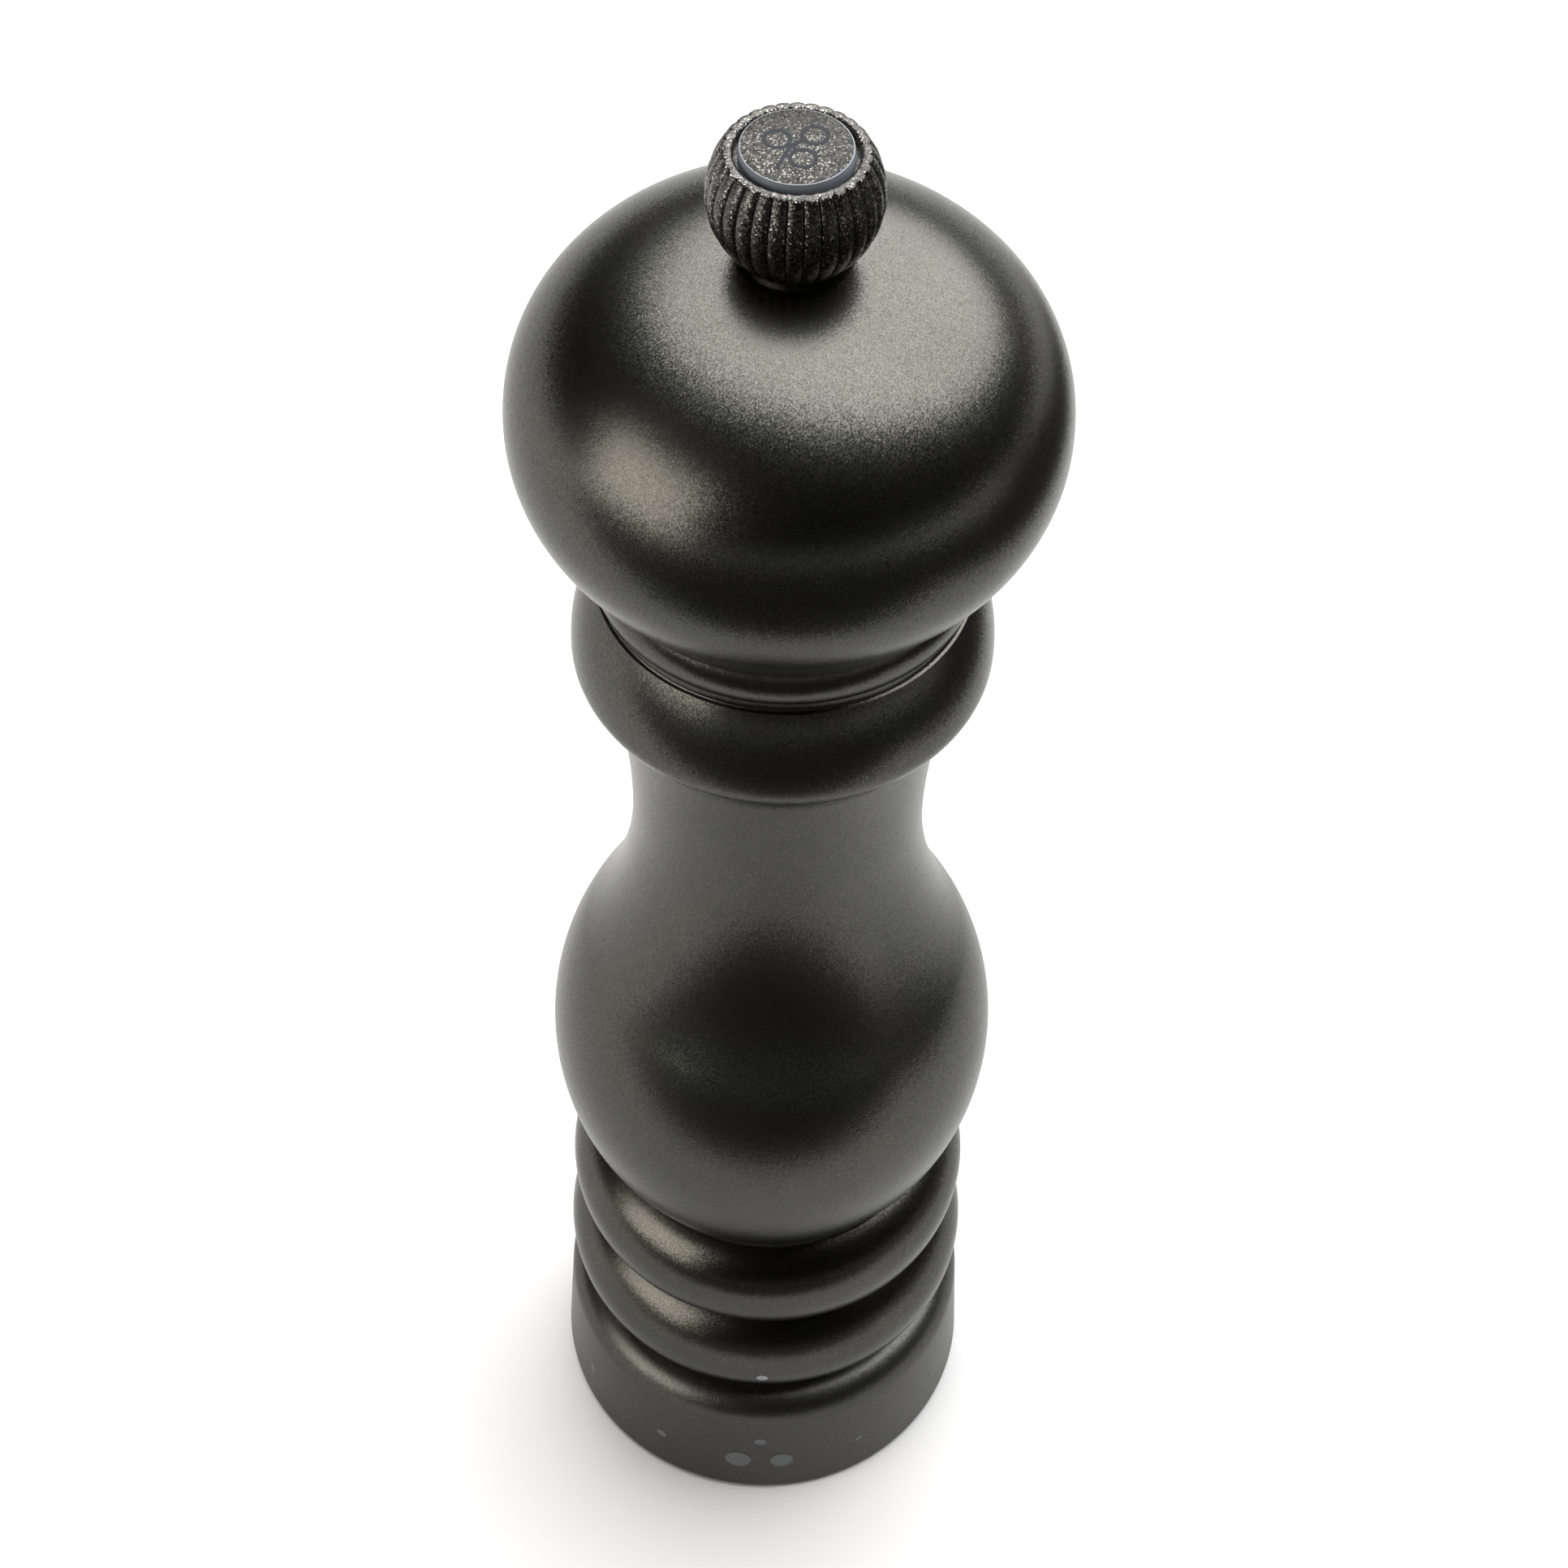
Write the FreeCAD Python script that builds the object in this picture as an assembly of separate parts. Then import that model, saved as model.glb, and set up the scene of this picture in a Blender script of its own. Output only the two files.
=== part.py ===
import FreeCAD, Part
import math
import os

# Pepper mill: a turned wooden body and head, a fluted ball knob that clamps the head to a square
# spindle, a conical steel grinder, and a selector ring at the base that sets the grind.
# Millimetres, +Z up. The origin is on the mill's axis, in the plane that the ring stands on.

# ---------------------------------------------------------------- fits
RUNNING_FIT = 0.06      # radial, a shaft that turns or slides in a hole
SEAT_GAP = 0.1          # between pieces that are fixed to each other
FACE_GAP = 0.1          # between flat faces that move on each other
TURN_GAP = 0.3          # between round faces that move past each other

# ---------------------------------------------------------------- selector ring, outside
RING_HEIGHT = 21.1
RING_FOOT_RADIUS = 28.1
RING_FOOT_ROUNDING = 1.2
RING_SHOULDER_RADIUS = 27.3
RING_SHOULDER_DROP = 4.8    # the rounded shoulder's height
RING_LIP = 1.0              # height of the inner lip that carries the cam

# ---------------------------------------------------------------- wooden body, outside
GROOVE_RADIUS = 22.8
GROOVE_LAND = 0.6
LOW_BEAD_RADIUS = 26.9
HIGH_BEAD_RADIUS = 26.2
BEAD_HEIGHT = 15.6
BELLY_GROOVE_RADIUS = 21.6
BELLY_RADIUS = 27.8
BELLY_ABOVE_GROOVE = 21.7
BELLY_CURVE = 40.5          # radius of the belly's upper curve
NECK_RADIUS = 17.1
NECK_ABOVE_BELLY = 44.8
NECK_TOP_RADIUS = 19.2
NECK_TOP_ABOVE_NECK = 21.4
NECK_RIDGE = 0.6            # the small ridge above the neck stands this much proud
NECK_RIDGE_HEIGHT = 1.8
COLLAR_RADIUS = 23.5
COLLAR_ABOVE_NECK = 28.7
COLLAR_UNDERCUT = 3.9       # the collar's tight lower curve
COLLAR_SLOPE = 10.4         # height of the long upper curve
COLLAR_TOP_RADIUS = 20.8
COLLAR_FILLET = 0.4         # depth of the groove between the collar and the top bead
COLLAR_FILLET_HEIGHT = 1.8
TOP_BEAD_RADIUS = 21.5
TOP_BEAD_HEIGHT = 4.9
TOP_BEAD_CURVE = 0.6

# ---------------------------------------------------------------- wooden head and knob, outside
HEAD_FOOT_RADIUS = 21.8
HEAD_FOOT_EDGE = 0.3
HEAD_RADIUS = 29.4
HEAD_WIDEST = 16.7          # height of the widest place above the foot
HEAD_LOWER_CURVE = 17.8
HEAD_CROWN = 22.0           # from the widest place to the top
HEAD_FULLNESS = 2.15        # 2 would be an ellipse; above 2 the crown's shoulder is fuller
CROWN_POINTS = 14
HEAD_SEAT_DEPTH = 0.3
KNOB_RADIUS = 8.8
KNOB_CENTRE_ABOVE_FOOT = KNOB_RADIUS - 2.0
KNOB_RIM_ABOVE_CENTRE = KNOB_RADIUS - 3.7
KNOB_RIM_BAND = 1.3         # the plain band under the rim, above the flutes
KNOB_FLUTES = 30
FLUTE_RADIUS = 0.42
INSERT_LENGTH = KNOB_RADIUS - 2.8
BADGE_RADIUS = KNOB_RADIUS - 3.15
BADGE_BEVEL = 0.4
BADGE_PROUD = 0.5
BADGE_THICKNESS = 1.6
BADGE_MARGIN = 0.45         # the dark ring of air round the badge
STEM_RADIUS = 1.6
STEM_LENGTH = 2.0
KNOB_WASHER_THICKNESS = 0.7

# ---------------------------------------------------------------- spindle
SPINDLE_FLATS = 5.0
SPINDLE_CORNER = 0.66 * SPINDLE_FLATS       # the square bar's corners are turned to this radius
JOURNAL_RADIUS = 2.0
THREAD_RADIUS = SPINDLE_FLATS / 2 - 0.05
THREAD_ENGAGED = 4.0        # five turns of 0.8 mm pitch inside the knob
THREAD_CHAMFER = 0.4
THREAD_RUNOUT = 1.2         # the thread starts this far under the head's top seat
CLIP_THICKNESS = 0.8
CLIP_SEAT_RADIUS = SPINDLE_FLATS / 2 - 0.2  # at the bottom of the clip's groove
CLIP_OUTER = SPINDLE_CORNER + 2.3
SPINDLE_WASHER_THICKNESS = 0.9
SPINDLE_BORE = SPINDLE_CORNER + 1.1
BUSH_LENGTH = 10.0
INSERT_RADIUS = THREAD_RADIUS + 1.55
HEAD_SEAT_RADIUS = SPINDLE_BORE + 1.2

# ---------------------------------------------------------------- screws
SCREW_RADIUS = 1.2
SCREW_HEAD_RADIUS = 1.9
SCREW_HEAD_HEIGHT = 1.1
SCREW_SLOT = 0.5
SCREW_LENGTH = 9.0
SCREW_HOLE_SPARE = 3.0      # the pilot hole goes this much deeper than the screw

# ---------------------------------------------------------------- grinder
HOUSING_OUTER = 18.3
HOUSING_WALL = 2.0
HOUSING_BOTTOM = 3.4
HOUSING_TOP = 46.0
HOUSING_FLANGE = HOUSING_OUTER + 2.1
HOUSING_TOP_THICKNESS = 2.0
FLANGE_THICKNESS = 1.8
SHELF_THICKNESS = 1.5       # the shelf that the female grinder bears on
HOUSING_INNER = HOUSING_OUTER - HOUSING_WALL
MECHANISM_SCREW_CIRCLE = HOUSING_INNER - SCREW_HEAD_RADIUS - 0.4
FEMALE_BOTTOM = 10.0
FEMALE_HEIGHT = 12.4
FEMALE_MOUTH = HOUSING_INNER - 3.1          # inner radius at the bottom, where the pepper leaves
FEMALE_THROAT = HOUSING_INNER - 4.3
FEMALE_THROAT_HEIGHT = 3.8
FEMALE_INLET = HOUSING_INNER - 2.1
FEMALE_TEETH = 24
MALE_RADIUS = FEMALE_MOUTH - TURN_GAP
MALE_EDGE = 0.4
MALE_SHOULDER = 2.1         # height of the widest place above the cone's foot
MALE_HEIGHT = 18.0
MALE_TOP_RADIUS = 6.4
MALE_THROAT_RADIUS = FEMALE_THROAT - 0.7
MALE_FINE_TEETH = 30
MALE_COARSE_TEETH = 8
FEMALE_CUTTER = (0.9, 1.1, 3 * FEMALE_HEIGHT, 18.0)     # depth, half width, length, lean in degrees
FINE_CUTTER = (0.6, 0.8, 14.0, 22.0)
COARSE_CUTTER = (1.6, 2.2, 26.0, 30.0)
FINE_SLOPE = 14.0           # the fine teeth follow the cone's side at this angle
COARSE_SLOPE = 20.0
CIRCLIP_THICKNESS = 1.0
CIRCLIP_OPENING = 5.0
CIRCLIP_GROOVE = 0.7
SPRING_WIRE = 0.4
SPRING_RADIUS = SPINDLE_CORNER + 1.7
SPRING_TURNS = 5

# ---------------------------------------------------------------- bridges, cam and click
STRAP_WIDTH = 8.0
LOWER_BRIDGE_BOTTOM = 4.4
LOWER_BRIDGE_THICKNESS = 2.0
LOWER_BOSS_RADIUS = 5.2
UPPER_BRIDGE_THICKNESS = 1.5
UPPER_BOSS_RADIUS = 6.0
THRUST_WASHER_THICKNESS = 0.6
THRUST_WASHER_RADIUS = 4.8
CAM_BORE = HOUSING_OUTER + 1.8              # room for the lower bridge's ends
CAM_WALL = 1.2
CAM_SHELF = 1.4             # the shelf under which the retaining ring lies
CAM_STEPS = 6
CAM_STEP_ANGLE = 30.0
CAM_STEP_RISE = 0.3
CAM_FIRST_STEP = -2         # the ring can turn this many steps back from where it stands
CAM_CLEARANCE = 0.35        # under the bridge, more than one step
CLICK_BAND_BOTTOM = 8.3
CLICK_BAND_HEIGHT = 3.7
CLICK_TRACK = 0.3           # how far the click track stands in from the cam's bore
CLICK_NOTCH = 0.9
CLICK_NOSE = 0.7
CLICK_LEAF = 0.4
CLICK_LEAF_SWEEP = 40.0
RETAINING_BOTTOM = 12.4
RETAINING_THICKNESS = 0.9
RETAINING_GROOVE = 0.8
RETAINING_OPENING = 6.0

# ---------------------------------------------------------------- bores and fastenings in the wood
HOPPER_RADIUS = MECHANISM_SCREW_CIRCLE - SCREW_RADIUS - 1.3
TENON_RADIUS = 15.0
TENON_LENGTH = 18.3
SOCKET_DEPTH = 22.0
PLATE_SCREW_CIRCLE = 9.0
PLATE_RADIUS = 12.0
PLATE_THICKNESS = 1.5

AXIS = FreeCAD.Vector(0, 0, 1)
ORIGIN = FreeCAD.Vector(0, 0, 0)


# ---------------------------------------------------------------- shared shapes
def at(radius, height):
    """A point of a turned outline, in the XZ plane."""
    return FreeCAD.Vector(radius, 0, height)


def line(start, end):
    return Part.LineSegment(at(*start), at(*end)).toShape()


def crest_arc(crest, end):
    """An arc that stands upright at the crest, or at a waist, and runs to the end."""
    inward = crest[0] - end[0]
    rise = end[1] - crest[1]
    radius = (inward ** 2 + rise ** 2) / (2 * inward)
    centre = crest[0] - radius
    half_turn = math.atan2(rise / abs(radius), (end[0] - centre) / radius) / 2
    middle = (centre + radius * math.cos(half_turn), crest[1] + abs(radius) * math.sin(half_turn))
    return Part.Arc(at(*crest), at(*middle), at(*end)).toShape()


def turned(edges):
    """The solid that a closed outline in the XZ plane makes when it is turned about the axis."""
    wire = Part.Wire(Part.__sortEdges__(edges))
    return Part.Face(wire).revolve(ORIGIN, AXIS, 360)


def turned_blank(edges, low, high):
    """A full round blank: the outline from low to high, closed through the axis."""
    closing = [line((0, low[1]), low), line(high, (0, high[1])), line((0, high[1]), (0, low[1]))]
    return turned(edges + closing)


def turned_outline(points):
    closed = points + points[:1]
    return turned([line(a, b) for a, b in zip(closed, closed[1:])])


def rod(radius, low, high):
    return Part.makeCylinder(radius, high - low, at(0, low))


def tube(inner, outer, low, high):
    return rod(outer, low, high).cut(rod(inner, low, high))


def sector(inner, outer, low, high, middle_angle, sweep):
    """A piece of a tube, centred on an angle about the axis."""
    outer_part = Part.makeCylinder(outer, high - low, at(0, low), AXIS, sweep)
    piece = outer_part.cut(rod(inner, low, high))
    piece.rotate(ORIGIN, AXIS, middle_angle - sweep / 2)
    return piece


def bar(length, width, low, high):
    """A flat bar across the axis, along X."""
    return Part.makeBox(length, width, high - low, FreeCAD.Vector(-length / 2, -width / 2, low))


def around(shape, count, first_angle=0.0):
    """Copies of a shape, evenly spaced about the axis."""
    copies = []
    for index in range(count):
        copy = shape.copy()
        copy.rotate(ORIGIN, AXIS, first_angle + index * 360.0 / count)
        copies.append(copy)
    return copies


def screws(circle, count, first_angle, head_top):
    """Screws driven upwards, with their heads under a face."""
    place = FreeCAD.Vector(circle, 0, 0)
    head_low = head_top - SCREW_HEAD_HEIGHT
    head = rod(SCREW_HEAD_RADIUS, head_low, head_top)
    shank = rod(SCREW_RADIUS, head_top, head_top + SCREW_LENGTH)
    slot = bar(2 * SCREW_HEAD_RADIUS, SCREW_SLOT, head_low, head_low + SCREW_SLOT)
    screw = head.fuse(shank).cut(slot)
    screw.translate(place)
    return around(screw, count, first_angle)


def screw_holes(circle, count, first_angle, low, high):
    hole = rod(SCREW_RADIUS + RUNNING_FIT, low, high)
    hole.translate(FreeCAD.Vector(circle, 0, 0))
    return around(hole, count, first_angle)


def square_bar(flats, low, high):
    return bar(flats, flats, low, high)


def ring_opening(width, reach, low, high):
    """The gap that opens a spring ring on its -X side."""
    return Part.makeBox(reach, width, high - low, FreeCAD.Vector(-reach, -width / 2, low))


# ---------------------------------------------------------------- heights worked out from the above
body_bottom = RING_HEIGHT + 0.4
low_bead_foot = body_bottom + 1.4
low_bead_top = low_bead_foot + BEAD_HEIGHT
high_bead_foot = low_bead_top + GROOVE_LAND
high_bead_top = high_bead_foot + BEAD_HEIGHT
belly_groove_top = high_bead_top + 1.0
belly_height = belly_groove_top + BELLY_ABOVE_GROOVE
neck_height = belly_height + NECK_ABOVE_BELLY
neck_top = neck_height + NECK_TOP_ABOVE_NECK
collar_height = neck_height + COLLAR_ABOVE_NECK
collar_top = collar_height + COLLAR_SLOPE
top_bead_foot = collar_top + COLLAR_FILLET_HEIGHT
body_top = top_bead_foot + TOP_BEAD_HEIGHT
socket_bottom = body_top - SOCKET_DEPTH
head_bottom = body_top + TURN_GAP
tenon_bottom = head_bottom - TENON_LENGTH
head_widest = head_bottom + HEAD_WIDEST
head_top = head_widest + HEAD_CROWN
knob_seat = head_top - HEAD_SEAT_DEPTH
washer_bottom = knob_seat + FACE_GAP
washer_top = washer_bottom + KNOB_WASHER_THICKNESS
knob_foot = washer_top + FACE_GAP
knob_centre = knob_foot + KNOB_CENTRE_ABOVE_FOOT
knob_top = knob_centre + KNOB_RIM_ABOVE_CENTRE
spindle_top = knob_foot + THREAD_ENGAGED
insert_top = knob_foot + INSERT_LENGTH
badge_top = knob_top + BADGE_PROUD
badge_bottom = badge_top - BADGE_THICKNESS
stem_bottom = badge_bottom - STEM_LENGTH
lower_bridge_top = LOWER_BRIDGE_BOTTOM + LOWER_BRIDGE_THICKNESS
male_bottom = lower_bridge_top + THRUST_WASHER_THICKNESS + FACE_GAP
male_top = male_bottom + MALE_HEIGHT
female_top = FEMALE_BOTTOM + FEMALE_HEIGHT
throat_height = FEMALE_BOTTOM + FEMALE_THROAT_HEIGHT
circlip_top = FEMALE_BOTTOM - 0.15
circlip_bottom = circlip_top - CIRCLIP_THICKNESS
top_flange_bottom = HOUSING_TOP - HOUSING_TOP_THICKNESS
upper_bridge_top = top_flange_bottom - SEAT_GAP
upper_bridge_bottom = upper_bridge_top - UPPER_BRIDGE_THICKNESS
spindle_washer_top = upper_bridge_bottom - FACE_GAP
spindle_clip_top = spindle_washer_top - SPINDLE_WASHER_THICKNESS - SEAT_GAP
spindle_clip_bottom = spindle_clip_top - CLIP_THICKNESS
cam_outer = CAM_BORE + CAM_WALL
cam_inner = HOUSING_OUTER + TURN_GAP
cam_top = RING_HEIGHT - 0.5
bridge_reach = CAM_BORE - TURN_GAP
highest_lift = CAM_STEP_RISE * (CAM_STEPS - 1 + CAM_FIRST_STEP)


# ---------------------------------------------------------------- selector ring
def adjust_ring():
    foot = (RING_FOOT_RADIUS, RING_FOOT_ROUNDING)
    foot_inside = (RING_FOOT_RADIUS - RING_FOOT_ROUNDING, 0)
    shoulder = (RING_SHOULDER_RADIUS, RING_HEIGHT - RING_SHOULDER_DROP)
    top = (GROOVE_RADIUS, RING_HEIGHT)
    outline = [crest_arc(foot, foot_inside), line(foot, shoulder), crest_arc(shoulder, top)]
    blank = turned_blank(outline, foot_inside, top)
    bore = rod(cam_outer + SEAT_GAP, RING_LIP, RING_HEIGHT)
    mouth = rod(CAM_BORE, 0, RING_LIP)
    return blank.cut(bore).cut(mouth)


def ring_cam():
    """The moulded liner: a stepped cam under each end of the lower bridge, a click track and a shelf."""
    body = tube(CAM_BORE, cam_outer, RING_LIP, cam_top)
    pieces = [tube(cam_inner, CAM_BORE + CAM_WALL / 2, RETAINING_BOTTOM + CAM_SHELF, cam_top)]
    step_zero = LOWER_BRIDGE_BOTTOM - CAM_CLEARANCE
    for end_angle in (0.0, 180.0):
        for step in range(CAM_STEPS):
            position = step + CAM_FIRST_STEP
            step_top = step_zero + position * CAM_STEP_RISE
            middle = end_angle - position * CAM_STEP_ANGLE
            pieces.append(sector(cam_inner, CAM_BORE + CAM_WALL / 2, RING_LIP, step_top, middle, CAM_STEP_ANGLE))
    track_top = CLICK_BAND_BOTTOM + CLICK_BAND_HEIGHT
    track = tube(CAM_BORE - CLICK_TRACK, CAM_BORE + CAM_WALL / 2, CLICK_BAND_BOTTOM, track_top)
    for step in range(CAM_STEPS):
        notch = rod(CLICK_NOTCH, CLICK_BAND_BOTTOM, track_top)
        notch.translate(FreeCAD.Vector(CAM_BORE, 0, 0))
        notch.rotate(ORIGIN, AXIS, 90.0 - (step + CAM_FIRST_STEP) * CAM_STEP_ANGLE)
        track = track.cut(notch)
    return body.multiFuse(pieces + [track]).removeSplitter()


def click_spring():
    """A spring leaf on the housing, whose nose lies in a notch of the click track."""
    low = CLICK_BAND_BOTTOM + 0.4
    high = CLICK_BAND_BOTTOM + CLICK_BAND_HEIGHT - 0.4
    inner = HOUSING_OUTER + SEAT_GAP / 2
    leaf = sector(inner, inner + CLICK_LEAF, low, high, 90.0, CLICK_LEAF_SWEEP)
    nose = rod(CLICK_NOSE, low, high)
    nose.translate(FreeCAD.Vector(0, inner + CLICK_LEAF, 0))
    return leaf.fuse(nose.cut(rod(inner + CLICK_LEAF / 2, low, high))).removeSplitter()


def retaining_ring():
    """The open spring ring in the housing's groove that carries the selector ring."""
    low = RETAINING_BOTTOM + SEAT_GAP
    high = low + RETAINING_THICKNESS
    ring = tube(HOUSING_OUTER - RETAINING_GROOVE + SEAT_GAP, CAM_BORE - 0.5, low, high)
    return ring.cut(ring_opening(RETAINING_OPENING, CAM_BORE, low, high))


# ---------------------------------------------------------------- wooden body
def belly_and_neck():
    """The belly's upper curve and the neck's lower curve, tangent to each other."""
    drop = BELLY_RADIUS - NECK_RADIUS
    both_curves = (drop ** 2 + NECK_ABOVE_BELLY ** 2) / (2 * drop)
    neck_curve = both_curves - BELLY_CURVE
    belly_centre = at(BELLY_RADIUS - BELLY_CURVE, belly_height)
    neck_centre = at(NECK_RADIUS + neck_curve, neck_height)
    meeting = belly_centre + (neck_centre - belly_centre) * (BELLY_CURVE / both_curves)
    meeting = (meeting.x, meeting.z)
    belly = crest_arc((BELLY_RADIUS, belly_height), meeting)
    neck = crest_arc((NECK_RADIUS, neck_height), meeting)
    return [belly, neck]


def body_outline():
    low_bead = (LOW_BEAD_RADIUS, (low_bead_foot + low_bead_top) / 2)
    high_bead = (HIGH_BEAD_RADIUS, (high_bead_foot + high_bead_top) / 2)
    belly = (BELLY_RADIUS, belly_height)
    neck = (NECK_RADIUS, neck_height)
    collar = (COLLAR_RADIUS, collar_height)
    top_bead = (TOP_BEAD_RADIUS, (top_bead_foot + body_top) / 2)
    beads = [
        line((GROOVE_RADIUS, body_bottom), (GROOVE_RADIUS, low_bead_foot)),
        crest_arc(low_bead, (GROOVE_RADIUS, low_bead_foot)),
        crest_arc(low_bead, (GROOVE_RADIUS, low_bead_top)),
        line((GROOVE_RADIUS, low_bead_top), (GROOVE_RADIUS, high_bead_foot)),
        crest_arc(high_bead, (GROOVE_RADIUS, high_bead_foot)),
        crest_arc(high_bead, (BELLY_GROOVE_RADIUS, high_bead_top)),
        line((BELLY_GROOVE_RADIUS, high_bead_top), (BELLY_GROOVE_RADIUS, belly_groove_top)),
        crest_arc(belly, (BELLY_GROOVE_RADIUS, belly_groove_top)),
    ]
    ridge = NECK_TOP_RADIUS + NECK_RIDGE
    ridge_top = neck_top + NECK_RIDGE_HEIGHT
    collar_foot = (COLLAR_RADIUS - COLLAR_UNDERCUT, collar_height - COLLAR_UNDERCUT)
    fillet = COLLAR_TOP_RADIUS - COLLAR_FILLET
    upper_corners = [
        (NECK_TOP_RADIUS, neck_top),
        (ridge, neck_top + 0.3),
        (ridge, ridge_top),
        (ridge - 0.4, ridge_top + 0.3),
        (ridge - 0.4, collar_foot[1]),
        collar_foot,
    ]
    fillet_corners = [
        (COLLAR_TOP_RADIUS, collar_top),
        (fillet, collar_top + 0.2),
        (fillet, top_bead_foot - 0.2),
        (TOP_BEAD_RADIUS - TOP_BEAD_CURVE, top_bead_foot),
    ]
    steps = [line(a, b) for a, b in zip(upper_corners, upper_corners[1:])]
    steps += [line(a, b) for a, b in zip(fillet_corners, fillet_corners[1:])]
    curves = [
        crest_arc(neck, (NECK_TOP_RADIUS, neck_top)),
        crest_arc(collar, collar_foot),
        crest_arc(collar, (COLLAR_TOP_RADIUS, collar_top)),
        crest_arc(top_bead, (TOP_BEAD_RADIUS - TOP_BEAD_CURVE, top_bead_foot)),
        crest_arc(top_bead, (TOP_BEAD_RADIUS - TOP_BEAD_CURVE, body_top)),
    ]
    return beads + belly_and_neck() + steps + curves


def wood_body():
    low = (GROOVE_RADIUS, body_bottom)
    high = (TOP_BEAD_RADIUS - TOP_BEAD_CURVE, body_top)
    body = turned_blank(body_outline(), low, high)
    cuts = [
        rod(HOUSING_OUTER + SEAT_GAP, body_bottom, HOUSING_TOP + SEAT_GAP),
        rod(HOUSING_FLANGE + SEAT_GAP, body_bottom, body_bottom + FLANGE_THICKNESS + SEAT_GAP),
        rod(HOPPER_RADIUS, HOUSING_TOP, body_top),
        rod(TENON_RADIUS + TURN_GAP, socket_bottom, body_top),
    ]
    thread_end = upper_bridge_bottom + SCREW_LENGTH + SCREW_HOLE_SPARE
    cuts += screw_holes(MECHANISM_SCREW_CIRCLE, 4, 0.0, HOUSING_TOP, thread_end)
    return body.cut(cuts)


# ---------------------------------------------------------------- grinder mechanism
def grinder_housing():
    """The moulded sleeve that holds the grinder and carries the selector ring."""
    sleeve = tube(HOUSING_INNER, HOUSING_OUTER, HOUSING_BOTTOM, HOUSING_TOP)
    wall_middle = HOUSING_INNER + HOUSING_WALL / 2
    joined = [
        tube(HOPPER_RADIUS, wall_middle, top_flange_bottom, HOUSING_TOP),
        tube(wall_middle, HOUSING_FLANGE, body_bottom, body_bottom + FLANGE_THICKNESS),
        tube(FEMALE_INLET + 0.4, wall_middle, female_top + SEAT_GAP, female_top + SEAT_GAP + SHELF_THICKNESS),
    ]
    slot_top = lower_bridge_top + highest_lift + 0.5
    slot_width = STRAP_WIDTH + 2 * TURN_GAP
    cuts = [
        bar(3 * HOUSING_OUTER, slot_width, HOUSING_BOTTOM, slot_top),
        tube(HOUSING_INNER - 0.5, HOUSING_INNER + CIRCLIP_GROOVE,
             circlip_bottom - SEAT_GAP / 2, circlip_top + SEAT_GAP / 2),
        tube(HOUSING_OUTER - RETAINING_GROOVE, HOUSING_OUTER + 1.0,
             RETAINING_BOTTOM, RETAINING_BOTTOM + RETAINING_THICKNESS + 2 * SEAT_GAP),
    ]
    cuts += screw_holes(MECHANISM_SCREW_CIRCLE, 4, 0.0, top_flange_bottom, HOUSING_TOP)
    return sleeve.multiFuse(joined).cut(cuts).removeSplitter()


def grinder_circlip():
    """The open wire ring that holds the female grinder up in the housing."""
    groove_bottom = HOUSING_INNER + CIRCLIP_GROOVE
    ring = tube(FEMALE_MOUTH + 1.4, groove_bottom - SEAT_GAP, circlip_bottom, circlip_top)
    return ring.cut(ring_opening(CIRCLIP_OPENING, groove_bottom, circlip_bottom, circlip_top))


def tooth_cutter(depth, width, length, lean):
    """A V-shaped cutter that stands upright at the origin and leans sideways, with its edge at -X."""
    corners = [
        FreeCAD.Vector(-depth, 0, -length / 2),
        FreeCAD.Vector(depth, -width, -length / 2),
        FreeCAD.Vector(depth, width, -length / 2),
    ]
    face = Part.Face(Part.makePolygon(corners + corners[:1]))
    cutter = face.extrude(FreeCAD.Vector(0, 0, length))
    cutter.rotate(ORIGIN, FreeCAD.Vector(1, 0, 0), lean)
    return cutter


def female_grinder():
    outer = HOUSING_INNER - SEAT_GAP
    ring = turned_outline([
        (FEMALE_MOUTH, FEMALE_BOTTOM), (outer, FEMALE_BOTTOM), (outer, female_top),
        (FEMALE_INLET, female_top), (FEMALE_THROAT, throat_height),
    ])
    cutter = tooth_cutter(*FEMALE_CUTTER)
    cutter.rotate(ORIGIN, AXIS, 180.0)
    cutter.translate(at(FEMALE_THROAT + 0.1, throat_height))
    return ring.cut(around(cutter, FEMALE_TEETH))


def male_grinder():
    """The toothed cone: fine teeth where it grinds, deep feeding grooves above."""
    shoulder = male_bottom + MALE_SHOULDER
    cone = turned_outline([
        (0, male_bottom), (MALE_RADIUS - MALE_EDGE, male_bottom), (MALE_RADIUS, shoulder),
        (MALE_THROAT_RADIUS, throat_height), (MALE_TOP_RADIUS, male_top), (0, male_top),
    ])
    fine = tooth_cutter(*FINE_CUTTER)
    fine.rotate(ORIGIN, FreeCAD.Vector(0, 1, 0), -FINE_SLOPE)
    fine.translate(at(MALE_RADIUS - 0.1, shoulder))
    fine_band = tube(MALE_THROAT_RADIUS - 3.0, MALE_RADIUS + 5.0, male_bottom - 1.0, throat_height + 1.0)
    coarse = tooth_cutter(*COARSE_CUTTER)
    coarse.rotate(ORIGIN, FreeCAD.Vector(0, 1, 0), -COARSE_SLOPE)
    side_middle = (MALE_THROAT_RADIUS + MALE_TOP_RADIUS) / 2
    coarse.translate(at(side_middle + 0.3, (throat_height + male_top) / 2))
    coarse_band = rod(MALE_RADIUS + 5.0, throat_height, male_top + 5.0)
    fine_cuts = [cutter.common(fine_band) for cutter in around(fine, MALE_FINE_TEETH)]
    coarse_cuts = [cutter.common(coarse_band) for cutter in around(coarse, MALE_COARSE_TEETH)]
    key = square_bar(SPINDLE_FLATS + 2 * RUNNING_FIT, male_bottom, male_top)
    return cone.cut(fine_cuts).cut(coarse_cuts).cut(key)


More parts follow.
